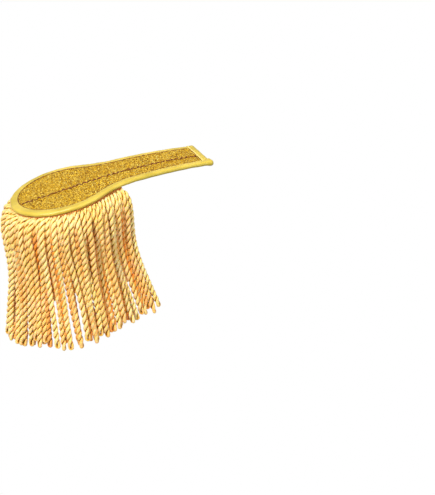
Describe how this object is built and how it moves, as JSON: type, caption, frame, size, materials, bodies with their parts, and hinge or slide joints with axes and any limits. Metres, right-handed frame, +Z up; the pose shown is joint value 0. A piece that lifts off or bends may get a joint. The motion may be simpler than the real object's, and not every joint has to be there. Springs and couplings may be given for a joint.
{
  "type": "bullion epaulette",
  "caption": "Shoulder epaulette: a stiff keyhole board faced with gold cloth and bound in satin, its round end hung all round with a fringe of twisted cords.",
  "frame": {"origin": "middle of the strap on the board's underside, where it sits on the shoulder and pins on", "axes": "+X along the board towards the neck end, -Y the wearer's front, +Z up; the fringe hangs towards -Z"},
  "size_m": [0.1778, 0.1031, 0.1412],
  "materials": {
    "backing_cloth": "plain woven cloth, stiff",
    "metallic_cloth": "glittering flat metallic thread, old gold",
    "satin": "pale yellow satin with a soft sheen",
    "bullion_cord": "twisted silky gold thread",
    "pin_metal": "plain polished"
  },
  "bodies": {
    "root": {"board": "backing_cloth", "facing_front": "metallic_cloth", "facing_rear": "metallic_cloth", "edge_binding": "satin", "end_binding": "satin", "fringe_1": "bullion_cord", "fringe_2": "bullion_cord", "fringe_3": "bullion_cord", "fringe_4": "bullion_cord", "fringe_5": "bullion_cord", "fringe_6": "bullion_cord", "bar_pin": "pin_metal"}
  },
  "joints": []
}
